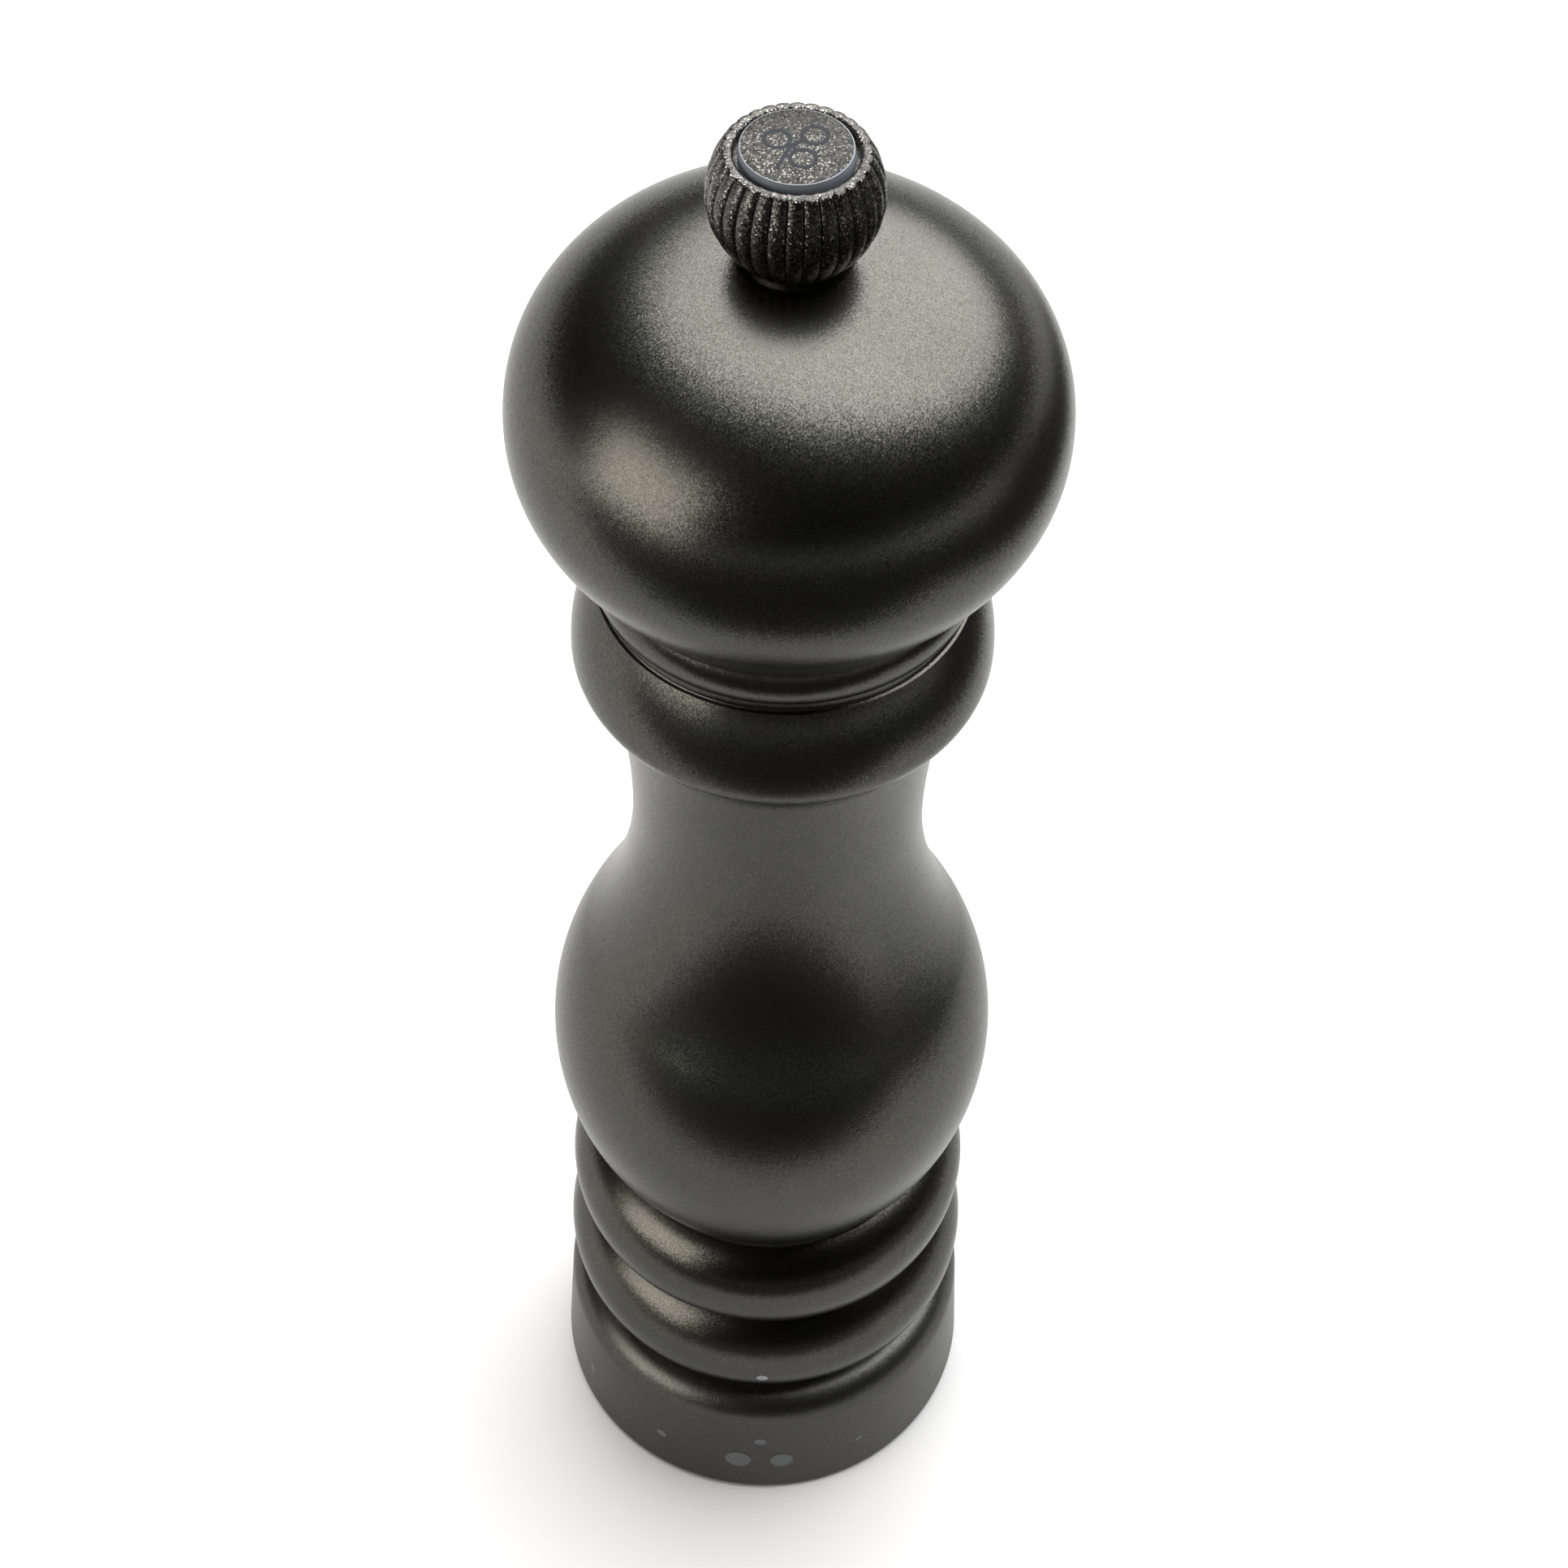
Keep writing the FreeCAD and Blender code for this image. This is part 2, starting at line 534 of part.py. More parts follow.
def grinder_spring():
    """The coil spring on the male grinder, as half turns that tilt one way and then the other."""
    low = male_top + SEAT_GAP + SPRING_WIRE
    high = spindle_clip_bottom - SEAT_GAP - SPRING_WIRE
    rise = (high - low) / (2 * SPRING_TURNS)
    halves = []
    for index in range(2 * SPRING_TURNS):
        side = 1 if index % 2 == 0 else -1
        start = at(side * SPRING_RADIUS, low + index * rise)
        section = Part.Face(Part.Wire(Part.makeCircle(SPRING_WIRE, start, FreeCAD.Vector(0, 1, 0))))
        tilted_axis = FreeCAD.Vector(side * rise / 2, 0, SPRING_RADIUS)
        halves.append(section.revolve(at(0, low + (index + 0.5) * rise), tilted_axis, 180))
    return halves[0].multiFuse(halves[1:]).Solids[0]


def lower_bridge():
    """The strap that carries the male grinder; its ends pass through the housing onto the cam."""
    strap = bar(2 * bridge_reach, STRAP_WIDTH, LOWER_BRIDGE_BOTTOM, lower_bridge_top)
    strap = strap.common(rod(bridge_reach, LOWER_BRIDGE_BOTTOM, lower_bridge_top))
    boss = rod(LOWER_BOSS_RADIUS, LOWER_BRIDGE_BOTTOM, lower_bridge_top)
    bore = rod(JOURNAL_RADIUS + RUNNING_FIT, LOWER_BRIDGE_BOTTOM, lower_bridge_top)
    return strap.fuse(boss).cut(bore).removeSplitter()


def thrust_washer():
    top = lower_bridge_top + THRUST_WASHER_THICKNESS
    return tube(JOURNAL_RADIUS + TURN_GAP, THRUST_WASHER_RADIUS, lower_bridge_top, top)


def upper_bridge():
    """The strap across the housing that guides the spindle and stops its clip."""
    reach = HOUSING_INNER - 0.4
    strap = bar(2 * reach, STRAP_WIDTH, upper_bridge_bottom, upper_bridge_top)
    strap = strap.common(rod(reach, upper_bridge_bottom, upper_bridge_top))
    boss = rod(UPPER_BOSS_RADIUS, upper_bridge_bottom, upper_bridge_top)
    bore = rod(SPINDLE_CORNER + RUNNING_FIT, upper_bridge_bottom, upper_bridge_top)
    holes = screw_holes(MECHANISM_SCREW_CIRCLE, 2, 0.0, upper_bridge_bottom, upper_bridge_top)
    return strap.fuse(boss).cut([bore] + holes).removeSplitter()


# ---------------------------------------------------------------- spindle
def spindle():
    journal_top = male_bottom + highest_lift + 0.2
    shank_top = knob_seat - THREAD_RUNOUT
    square = square_bar(SPINDLE_FLATS, journal_top, shank_top)
    square = square.common(rod(SPINDLE_CORNER, journal_top, shank_top))
    journal = rod(JOURNAL_RADIUS, HOUSING_BOTTOM + 0.2, journal_top)
    thread = turned_outline([
        (0, shank_top), (THREAD_RADIUS, shank_top), (THREAD_RADIUS, spindle_top - THREAD_CHAMFER),
        (THREAD_RADIUS - THREAD_CHAMFER, spindle_top), (0, spindle_top),
    ])
    groove = tube(CLIP_SEAT_RADIUS, 2 * SPINDLE_CORNER,
                  spindle_clip_bottom - RUNNING_FIT, spindle_clip_top + RUNNING_FIT)
    return square.multiFuse([journal, thread]).cut(groove).removeSplitter()


def spindle_clip():
    """The open clip in the spindle's groove."""
    clip = tube(CLIP_SEAT_RADIUS + RUNNING_FIT, CLIP_OUTER, spindle_clip_bottom, spindle_clip_top)
    opening = Part.makeBox(CLIP_OUTER, 2 * JOURNAL_RADIUS, CLIP_THICKNESS,
                           FreeCAD.Vector(0, -JOURNAL_RADIUS, spindle_clip_bottom))
    return clip.cut(opening)


def spindle_washer():
    inner = SPINDLE_CORNER + SEAT_GAP
    return tube(inner, SPRING_RADIUS + 1.2, spindle_clip_top + SEAT_GAP, spindle_washer_top)


# ---------------------------------------------------------------- head
def head_crown():
    """A smooth curve from the widest place to the top, rounder at the shoulder than an ellipse."""
    points = []
    for index in range(CROWN_POINTS + 1):
        turn = math.pi / 2 * index / CROWN_POINTS
        out = abs(math.cos(turn)) ** (2 / HEAD_FULLNESS)
        up = math.sin(turn) ** (2 / HEAD_FULLNESS)
        points.append(at(HEAD_RADIUS * out, head_widest + HEAD_CROWN * up))
    points[-1] = at(0, head_top)
    crown = Part.BSplineCurve()
    crown.interpolate(Points=points, InitialTangent=at(0, 1), FinalTangent=at(-1, 0))
    return crown.toShape()


def head_outline():
    """A straight flare from the foot, tangent to the lower curve, and the full crown."""
    foot_edge = (HEAD_FOOT_RADIUS - HEAD_FOOT_EDGE, head_bottom)
    foot = (HEAD_FOOT_RADIUS, head_bottom + HEAD_FOOT_EDGE)
    centre = (HEAD_RADIUS - HEAD_LOWER_CURVE, head_widest)
    away = (foot[0] - centre[0], foot[1] - centre[1])
    distance = math.hypot(*away)
    foot_angle = math.atan2(away[1], away[0])
    touch_angle = foot_angle + math.acos(HEAD_LOWER_CURVE / distance)
    touch = (centre[0] + HEAD_LOWER_CURVE * math.cos(touch_angle),
             centre[1] + HEAD_LOWER_CURVE * math.sin(touch_angle))
    return [
        line(foot_edge, foot),
        line(foot, touch),
        crest_arc((HEAD_RADIUS, head_widest), touch),
        head_crown(),
        line((0, head_top), (0, head_bottom)),
        line((0, head_bottom), foot_edge),
    ]


def wood_head():
    head = turned(head_outline())
    tenon = rod(TENON_RADIUS, tenon_bottom, head_bottom + 1.0)
    cuts = [rod(SPINDLE_BORE, tenon_bottom, head_top), rod(HEAD_SEAT_RADIUS, knob_seat, head_top)]
    cuts += screw_holes(PLATE_SCREW_CIRCLE, 3, 30.0, tenon_bottom, tenon_bottom + SCREW_LENGTH)
    return head.fuse(tenon).cut(cuts).removeSplitter()


def drive_plate():
    """The steel plate under the tenon, whose square hole takes the spindle round with the head."""
    top = tenon_bottom - SEAT_GAP
    low = top - PLATE_THICKNESS
    key = square_bar(SPINDLE_FLATS + 2 * RUNNING_FIT, low, top)
    return rod(PLATE_RADIUS, low, top).cut([key] + screw_holes(PLATE_SCREW_CIRCLE, 3, 30.0, low, top))


def head_bush():
    low = knob_seat - BUSH_LENGTH
    return tube(SPINDLE_CORNER + RUNNING_FIT, SPINDLE_BORE - SEAT_GAP, low, knob_seat)


# ---------------------------------------------------------------- knob
def knob_shell():
    centre = at(0, knob_centre)
    ball = Part.makeSphere(KNOB_RADIUS, centre).common(rod(KNOB_RADIUS + 1, knob_foot, knob_top))
    flute_band = rod(KNOB_RADIUS + 2, knob_foot - 1.0, knob_top - KNOB_RIM_BAND)
    ring = Part.makeTorus(KNOB_RADIUS + 0.05, FLUTE_RADIUS, centre, FreeCAD.Vector(0, 1, 0))
    flutes = [piece.common(flute_band) for piece in around(ring, KNOB_FLUTES)[:KNOB_FLUTES // 2]]
    shell = ball.cut(flutes)
    cavity = rod(INSERT_RADIUS + SEAT_GAP, knob_foot, insert_top + SEAT_GAP)
    recess = rod(BADGE_RADIUS + BADGE_MARGIN, badge_bottom - SEAT_GAP, knob_top)
    stem_hole = rod(STEM_RADIUS + SEAT_GAP, stem_bottom - SEAT_GAP, knob_top)
    return shell.cut([cavity, recess, stem_hole])


def knob_insert():
    return tube(THREAD_RADIUS + RUNNING_FIT, INSERT_RADIUS, knob_foot, insert_top)


def knob_badge():
    """The small bevelled disc that is pressed into the knob's top."""
    return turned_outline([
        (0, stem_bottom), (STEM_RADIUS, stem_bottom), (STEM_RADIUS, badge_bottom),
        (BADGE_RADIUS, badge_bottom), (BADGE_RADIUS, badge_top - BADGE_BEVEL),
        (BADGE_RADIUS - BADGE_BEVEL, badge_top), (0, badge_top),
    ])


def knob_washer():
    return tube(THREAD_RADIUS + 0.15, SPINDLE_BORE, washer_bottom, washer_top)


# ---------------------------------------------------------------- screws, as groups
def bridge_screws():
    return Part.makeCompound(screws(MECHANISM_SCREW_CIRCLE, 2, 0.0, upper_bridge_bottom))


def housing_screws():
    return Part.makeCompound(screws(MECHANISM_SCREW_CIRCLE, 2, 90.0, top_flange_bottom))


def drive_plate_screws():
    plate_underside = tenon_bottom - SEAT_GAP - PLATE_THICKNESS
    return Part.makeCompound(screws(PLATE_SCREW_CIRCLE, 3, 30.0, plate_underside))


# ---------------------------------------------------------------- all pieces
PIECES = [
    adjust_ring, ring_cam, click_spring, retaining_ring, wood_body, grinder_housing, grinder_circlip,
    female_grinder, male_grinder, grinder_spring, lower_bridge, thrust_washer, upper_bridge,
    bridge_screws, housing_screws, spindle, spindle_clip, spindle_washer, wood_head, drive_plate,
    drive_plate_screws, head_bush, knob_washer, knob_shell, knob_insert, knob_badge,
]

os.makedirs("parts", exist_ok=True)
for piece in PIECES:
    piece().exportStep(os.path.join("parts", piece.__name__ + ".step"))
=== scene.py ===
import math

import bmesh
import bpy
from mathutils import Matrix, Vector


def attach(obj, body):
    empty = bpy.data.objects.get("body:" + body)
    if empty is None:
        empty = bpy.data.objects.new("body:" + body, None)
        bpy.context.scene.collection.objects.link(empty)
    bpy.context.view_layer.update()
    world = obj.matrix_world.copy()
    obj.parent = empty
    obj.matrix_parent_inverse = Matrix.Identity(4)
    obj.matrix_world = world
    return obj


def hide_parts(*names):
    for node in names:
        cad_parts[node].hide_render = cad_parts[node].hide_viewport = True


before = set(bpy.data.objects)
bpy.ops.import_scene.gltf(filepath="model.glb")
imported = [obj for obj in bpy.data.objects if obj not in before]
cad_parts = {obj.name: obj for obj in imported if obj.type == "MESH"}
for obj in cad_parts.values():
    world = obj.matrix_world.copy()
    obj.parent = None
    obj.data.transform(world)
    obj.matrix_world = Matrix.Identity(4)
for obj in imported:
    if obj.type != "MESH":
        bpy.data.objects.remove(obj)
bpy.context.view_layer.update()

MM = 0.001

# ------------------------------------------------------------------ the mill's turned shapes, in mm
# The same driving sizes as the CAD model's.
RING_HEIGHT = 21.1
RING_FOOT_RADIUS = 28.1
RING_SHOULDER = (27.3, 16.3)
CAM_OUTER = 21.4
RING_MOUTH = 20.1
BODY_BOTTOM = 21.5
GROOVE_RADIUS = 22.8
GROOVE_LAND = 0.6
LOW_BEAD_RADIUS = 26.9
HIGH_BEAD_RADIUS = 26.2
BEAD_HEIGHT = 15.6
BELLY_GROOVE_RADIUS = 21.6
BELLY_RADIUS = 27.8
BELLY_ABOVE_GROOVE = 21.7
BELLY_CURVE = 40.5
NECK_RADIUS = 17.1
NECK_ABOVE_BELLY = 44.8
NECK_TOP_RADIUS = 19.2
NECK_TOP_ABOVE_NECK = 21.4
COLLAR_RADIUS = 23.5
COLLAR_ABOVE_NECK = 28.7
COLLAR_UNDERCUT = 3.9
COLLAR_SLOPE = 10.4
COLLAR_TOP_RADIUS = 20.8
BODY_TOP = 168.0
TOP_BEAD_RADIUS = 21.5
TOP_BEAD_HEIGHT = 4.9
HOUSING_RADIUS = 18.4
HOUSING_TOP = 46.1
FLANGE_RADIUS = 20.5
FLANGE_TOP = 23.4
HOPPER_RADIUS = 11.5
SOCKET_RADIUS = 15.3
SOCKET_BOTTOM = 146.0
HEAD_BOTTOM = 168.3
HEAD_FOOT_RADIUS = 21.8
HEAD_RADIUS = 29.4
HEAD_WIDEST = 185.0
HEAD_LOWER_CURVE = 17.8
HEAD_TOP = 207.0
HEAD_FULLNESS = 2.15    # 2 would be an ellipse
HEAD_SEAT = (5.6, 206.7)
TENON_RADIUS = 15.0
TENON_BOTTOM = 150.0
SPINDLE_BORE = 4.4
KNOB_RADIUS = 8.8
KNOB_FOOT = 207.6
KNOB_CENTRE = 214.4
KNOB_TOP = 219.5
KNOB_FLUTES = 30
KNOB_SOCKET_RADIUS = 4.1    # the bore that holds the insert
KNOB_SOCKET_TOP = KNOB_FOOT + 5.9
FLUTE_DEPTH = 0.42
BADGE_RADIUS = 5.65
BADGE_FACE = 5.47
BADGE_TOP = 220.0
BADGE_BOTTOM = 218.4
SPINDLE_FLATS = 5.0
SPINDLE_CORNER = 3.3
SPINDLE_BOTTOM = 3.6
SPINDLE_TOP = 211.6
JOURNAL_RADIUS = 2.0
JOURNAL_TOP = 8.2
CLIP_GROOVE = (40.44, 41.36)
CLIP_SEAT_RADIUS = 2.3
THREAD_FOOT = 205.5
THREAD_RADIUS = 2.45
THREAD_PITCH = 0.8
THREAD_DEPTH = 0.35

# The printed dots: the index on the body, a sign below it on the ring, and one dot for each other setting.
INDEX_HEIGHT = BODY_BOTTOM + 8.2
INDEX_RADIUS = 0.8
SIGN_HALF_WIDTH = 3.1
SIGN_HEIGHT = 7.6
SIGN_TOP = 12.6
SETTINGS = 6
SETTING_AT_REST = 2
SETTING_STEP = math.radians(30.0)
SETTING_HEIGHT = 8.0

ROUND_STEPS = 256       # segments about the axis
CURVE_STEP = 0.7        # mm between the rings of points along a curve


# ------------------------------------------------------------------ camera
CAMERA_PLACE = (-0.00167, -0.23943, 0.42063)
CAMERA_DOWN = 51.08     # degrees below the horizon
CAMERA_ROLL = 1.81
CAMERA_TURN = -0.56
CAMERA_LENS = 74.5


def make_camera():
    camera = bpy.data.objects.new("camera", bpy.data.cameras.new("camera"))
    bpy.context.scene.collection.objects.link(camera)
    camera.data.lens = CAMERA_LENS
    camera.data.sensor_width = 36.0
    camera.data.clip_start = 0.01
    pitch = Matrix.Rotation(math.radians(90 - CAMERA_DOWN), 4, "X")
    roll = Matrix.Rotation(math.radians(CAMERA_ROLL), 4, "Z")
    turn = Matrix.Rotation(math.radians(CAMERA_TURN), 4, "Z")
    camera.matrix_world = Matrix.Translation(CAMERA_PLACE) @ turn @ pitch @ roll
    bpy.context.scene.camera = camera


# ------------------------------------------------------------------ outlines
def crest_arc(crest, end):
    """Points of an arc that stands upright at the crest, or at a waist, and runs to the end."""
    inward = crest[0] - end[0]
    rise = end[1] - crest[1]
    radius = (inward ** 2 + rise ** 2) / (2 * inward)
    centre = crest[0] - radius
    turn = math.atan2(rise / abs(radius), (end[0] - centre) / radius)
    count = max(4, math.ceil(abs(turn * radius) / CURVE_STEP))
    points = []
    for index in range(count + 1):
        angle = turn * index / count
        points.append((centre + radius * math.cos(angle), crest[1] + abs(radius) * math.sin(angle)))
    return points


def rounded(points, radius):
    """The open outline with each inner corner replaced by a small arc."""
    result = [points[0]]
    for before, corner, after in zip(points, points[1:], points[2:]):
        corner_v = Vector(corner)
        to_before = Vector(before) - corner_v
        to_after = Vector(after) - corner_v
        reach = min(radius, to_before.length * 0.45, to_after.length * 0.45)
        start = corner_v + to_before.normalized() * reach
        end = corner_v + to_after.normalized() * reach
        for share in (0.0, 0.25, 0.5, 0.75, 1.0):
            a = start.lerp(corner_v, share)
            b = corner_v.lerp(end, share)
            result.append(tuple(a.lerp(b, share)))
    result.append(points[-1])
    return result


def body_outline():
    low_foot = BODY_BOTTOM + 1.4
    low_top = low_foot + BEAD_HEIGHT
    high_foot = low_top + GROOVE_LAND
    high_top = high_foot + BEAD_HEIGHT
    belly_foot = high_top + 1.0
    belly_height = belly_foot + BELLY_ABOVE_GROOVE
    neck_height = belly_height + NECK_ABOVE_BELLY
    neck_top = neck_height + NECK_TOP_ABOVE_NECK
    collar_height = neck_height + COLLAR_ABOVE_NECK
    collar_top = collar_height + COLLAR_SLOPE
    bead_foot = BODY_TOP - TOP_BEAD_HEIGHT
    low_bead = (LOW_BEAD_RADIUS, (low_foot + low_top) / 2)
    high_bead = (HIGH_BEAD_RADIUS, (high_foot + high_top) / 2)
    belly = (BELLY_RADIUS, belly_height)
    neck = (NECK_RADIUS, neck_height)
    collar = (COLLAR_RADIUS, collar_height)
    collar_foot = (COLLAR_RADIUS - COLLAR_UNDERCUT, collar_height - COLLAR_UNDERCUT)
    top_bead = (TOP_BEAD_RADIUS, (bead_foot + BODY_TOP) / 2)
    drop = BELLY_RADIUS - NECK_RADIUS
    both_curves = (drop ** 2 + NECK_ABOVE_BELLY ** 2) / (2 * drop)
    belly_centre = Vector((BELLY_RADIUS - BELLY_CURVE, belly_height))
    neck_centre = Vector((NECK_RADIUS + both_curves - BELLY_CURVE, neck_height))
    meeting = tuple(belly_centre.lerp(neck_centre, BELLY_CURVE / both_curves))
    ridge = NECK_TOP_RADIUS + 0.6
    fillet = COLLAR_TOP_RADIUS - 0.4
    bead_edge = TOP_BEAD_RADIUS - 0.6
    points = [(GROOVE_RADIUS - 0.5, BODY_BOTTOM), (GROOVE_RADIUS, BODY_BOTTOM + 0.4)]
    points += crest_arc(low_bead, (GROOVE_RADIUS, low_foot))[::-1]
    points += crest_arc(low_bead, (GROOVE_RADIUS, low_top))[1:]
    points += crest_arc(high_bead, (GROOVE_RADIUS, high_foot))[::-1]
    points += crest_arc(high_bead, (BELLY_GROOVE_RADIUS, high_top))[1:]
    points += crest_arc(belly, (BELLY_GROOVE_RADIUS, belly_foot))[::-1]
    points += crest_arc(belly, meeting)[1:]
    points += crest_arc(neck, meeting)[::-1][1:]
    points += crest_arc(neck, (NECK_TOP_RADIUS, neck_top))[1:]
    points += rounded([
        (NECK_TOP_RADIUS, neck_top), (ridge, neck_top + 0.3), (ridge, neck_top + 1.8),
        (ridge - 0.4, neck_top + 2.1), (ridge - 0.4, collar_foot[1]), collar_foot,
    ], 0.25)[1:-1]
    points += crest_arc(collar, collar_foot)[::-1]
    points += crest_arc(collar, (COLLAR_TOP_RADIUS, collar_top))[1:]
    points += rounded([
        (COLLAR_TOP_RADIUS, collar_top), (fillet, collar_top + 0.2), (fillet, bead_foot - 0.2),
        (bead_edge, bead_foot),
    ], 0.2)[1:-1]
    points += crest_arc(top_bead, (bead_edge, bead_foot))[::-1]
    points += crest_arc(top_bead, (bead_edge, BODY_TOP - 0.2))[1:]
    points.append((bead_edge - 0.3, BODY_TOP))
    return points


def body_inside():
    return [
        (SOCKET_RADIUS + 0.4, BODY_TOP), (SOCKET_RADIUS, BODY_TOP - 0.4), (SOCKET_RADIUS, SOCKET_BOTTOM),
        (HOPPER_RADIUS, SOCKET_BOTTOM), (HOPPER_RADIUS, HOUSING_TOP), (HOUSING_RADIUS, HOUSING_TOP),
        (HOUSING_RADIUS, FLANGE_TOP), (FLANGE_RADIUS, FLANGE_TOP), (FLANGE_RADIUS, BODY_BOTTOM),
    ]


def head_outline():
    """From the foot up to the seat under the knob."""
    foot = (HEAD_FOOT_RADIUS, HEAD_BOTTOM + 0.3)
    centre = (HEAD_RADIUS - HEAD_LOWER_CURVE, HEAD_WIDEST)
    away = (foot[0] - centre[0], foot[1] - centre[1])
    touch_angle = math.atan2(away[1], away[0]) + math.acos(HEAD_LOWER_CURVE / math.hypot(*away))
    touch = (centre[0] + HEAD_LOWER_CURVE * math.cos(touch_angle),
             centre[1] + HEAD_LOWER_CURVE * math.sin(touch_angle))
    points = [(HEAD_FOOT_RADIUS - 0.4, HEAD_BOTTOM), (HEAD_FOOT_RADIUS - 0.1, HEAD_BOTTOM + 0.1), foot]
    points += crest_arc((HEAD_RADIUS, HEAD_WIDEST), touch)[::-1]
    crown_steps = 64
    end_turn = math.acos((HEAD_SEAT[0] / HEAD_RADIUS) ** (HEAD_FULLNESS / 2))
    for index in range(1, crown_steps + 1):
        turn = end_turn * index / crown_steps
        out = math.cos(turn) ** (2 / HEAD_FULLNESS)
        up = math.sin(turn) ** (2 / HEAD_FULLNESS)
        points.append((HEAD_RADIUS * out, HEAD_WIDEST + (HEAD_TOP - HEAD_WIDEST) * up))
    return points


def head_inside():
    return [
        (HEAD_SEAT[0] - 0.3, HEAD_SEAT[1] - 0.1), (SPINDLE_BORE, HEAD_SEAT[1] - 0.1),
        (SPINDLE_BORE, TENON_BOTTOM), (TENON_RADIUS - 0.5, TENON_BOTTOM),
        (TENON_RADIUS, TENON_BOTTOM + 0.5), (TENON_RADIUS, HEAD_BOTTOM),
    ]


def ring_outline():
    foot = (RING_FOOT_RADIUS, 1.2)
    points = crest_arc(foot, (RING_FOOT_RADIUS - 1.2, 0.0))[::-1]
    points += crest_arc(RING_SHOULDER, (GROOVE_RADIUS + 0.2, RING_HEIGHT - 0.1))
    points.append((GROOVE_RADIUS - 0.1, RING_HEIGHT))
    return points


def ring_inside():
    return [(CAM_OUTER, RING_HEIGHT), (CAM_OUTER, 1.0), (RING_MOUTH, 1.0), (RING_MOUTH, 0.0)]


def badge_outline():
    return [
        (BADGE_RADIUS, BADGE_BOTTOM), (BADGE_RADIUS, BADGE_TOP - 0.62), (BADGE_RADIUS - 0.03, BADGE_TOP - 0.5),
        (BADGE_FACE + 0.05, BADGE_TOP - 0.04), (BADGE_FACE - 0.06, BADGE_TOP),
    ]


# ------------------------------------------------------------------ meshes
def new_object(name, mesh_data, body, replaced=()):
    piece = bpy.data.objects.new(name, mesh_data)
    bpy.context.scene.collection.objects.link(piece)
    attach(piece, body)
    if replaced:
        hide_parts(*replaced)
    return piece


def lathe(name, outline, relief=None, steps=ROUND_STEPS, sharp=28.0):
    """Turns a closed outline, in mm, about the axis. relief(angle, radius, height) gives a smaller radius."""
    work = bmesh.new()
    rings = []
    for radius, height in outline:
        ring = []
        for step in range(steps):
            angle = 2 * math.pi * step / steps
            inner = radius if relief is None else relief(angle, radius, height)
            place = Vector((inner * math.cos(angle), inner * math.sin(angle), height)) * MM
            ring.append(work.verts.new(place))
        rings.append(ring)
    for low, high in zip(rings, rings[1:] + rings[:1]):
        for step in range(steps):
            following = (step + 1) % steps
            work.faces.new((low[step], low[following], high[following], high[step]))
    return finish_mesh(name, work, sharp)


def finish_mesh(name, work, sharp):
    bmesh.ops.recalc_face_normals(work, faces=work.faces)
    made = bpy.data.meshes.new(name)
    work.to_mesh(made)
    work.free()
    made.shade_smooth()
    made.set_sharp_from_angle(angle=math.radians(sharp))
    return made


def without_repeats(points):
    kept = []
    for point in points:
        if not kept or math.dist(kept[-1], point) > 0.01:
            kept.append(point)
    if math.dist(kept[0], kept[-1]) < 0.01:
        kept.pop()
    return kept


def knob_outline():
    """The ball from its foot to the rim, over the rim and down into the badge's recess."""
    low_turn = math.asin((KNOB_FOOT + 0.35 - KNOB_CENTRE) / KNOB_RADIUS)
    high_turn = math.asin((KNOB_TOP - 0.25 - KNOB_CENTRE) / KNOB_RADIUS)
    foot_radius = KNOB_RADIUS * math.cos(low_turn)
    points = [(KNOB_SOCKET_RADIUS, KNOB_SOCKET_TOP), (KNOB_SOCKET_RADIUS, KNOB_FOOT),
              (foot_radius - 0.5, KNOB_FOOT), (foot_radius - 0.15, KNOB_FOOT + 0.1)]
    steps = 60
    for index in range(steps + 1):
        turn = low_turn + (high_turn - low_turn) * index / steps
        points.append((KNOB_RADIUS * math.cos(turn), KNOB_CENTRE + KNOB_RADIUS * math.sin(turn)))
    rim = points[-1][0]
    points += [(rim - 0.14, KNOB_TOP - 0.1), (rim - 0.4, KNOB_TOP), (BADGE_RADIUS + 0.95, KNOB_TOP + 0.06),
               (BADGE_RADIUS + 0.7, KNOB_TOP), (BADGE_RADIUS + 0.5, KNOB_TOP - 0.12),
               (BADGE_RADIUS + 0.45, KNOB_TOP - 0.3),
               (BADGE_RADIUS + 0.45, BADGE_BOTTOM - 0.1), (1.7, BADGE_BOTTOM - 0.1), (1.7, KNOB_SOCKET_TOP)]
    return points


def flutes(angle, radius, height):
    """Grooves down the ball between rounded ribs; they get shallow towards the rim and the foot."""
    rim_inside = BADGE_RADIUS + 0.8
    if radius < rim_inside and height > KNOB_CENTRE or radius < 4.6:
        return radius
    run_out = min(1.0, 0.8 + (KNOB_TOP - height) / 3.0, max(0.0, height - KNOB_FOOT) / 0.3)
    off_crest = 2 * (angle * KNOB_FLUTES / (2 * math.pi) % 1.0) - 1
    groove = 1.0 - math.sqrt(1.0 - 0.96 * off_crest ** 2)
    return radius - FLUTE_DEPTH * groove * run_out


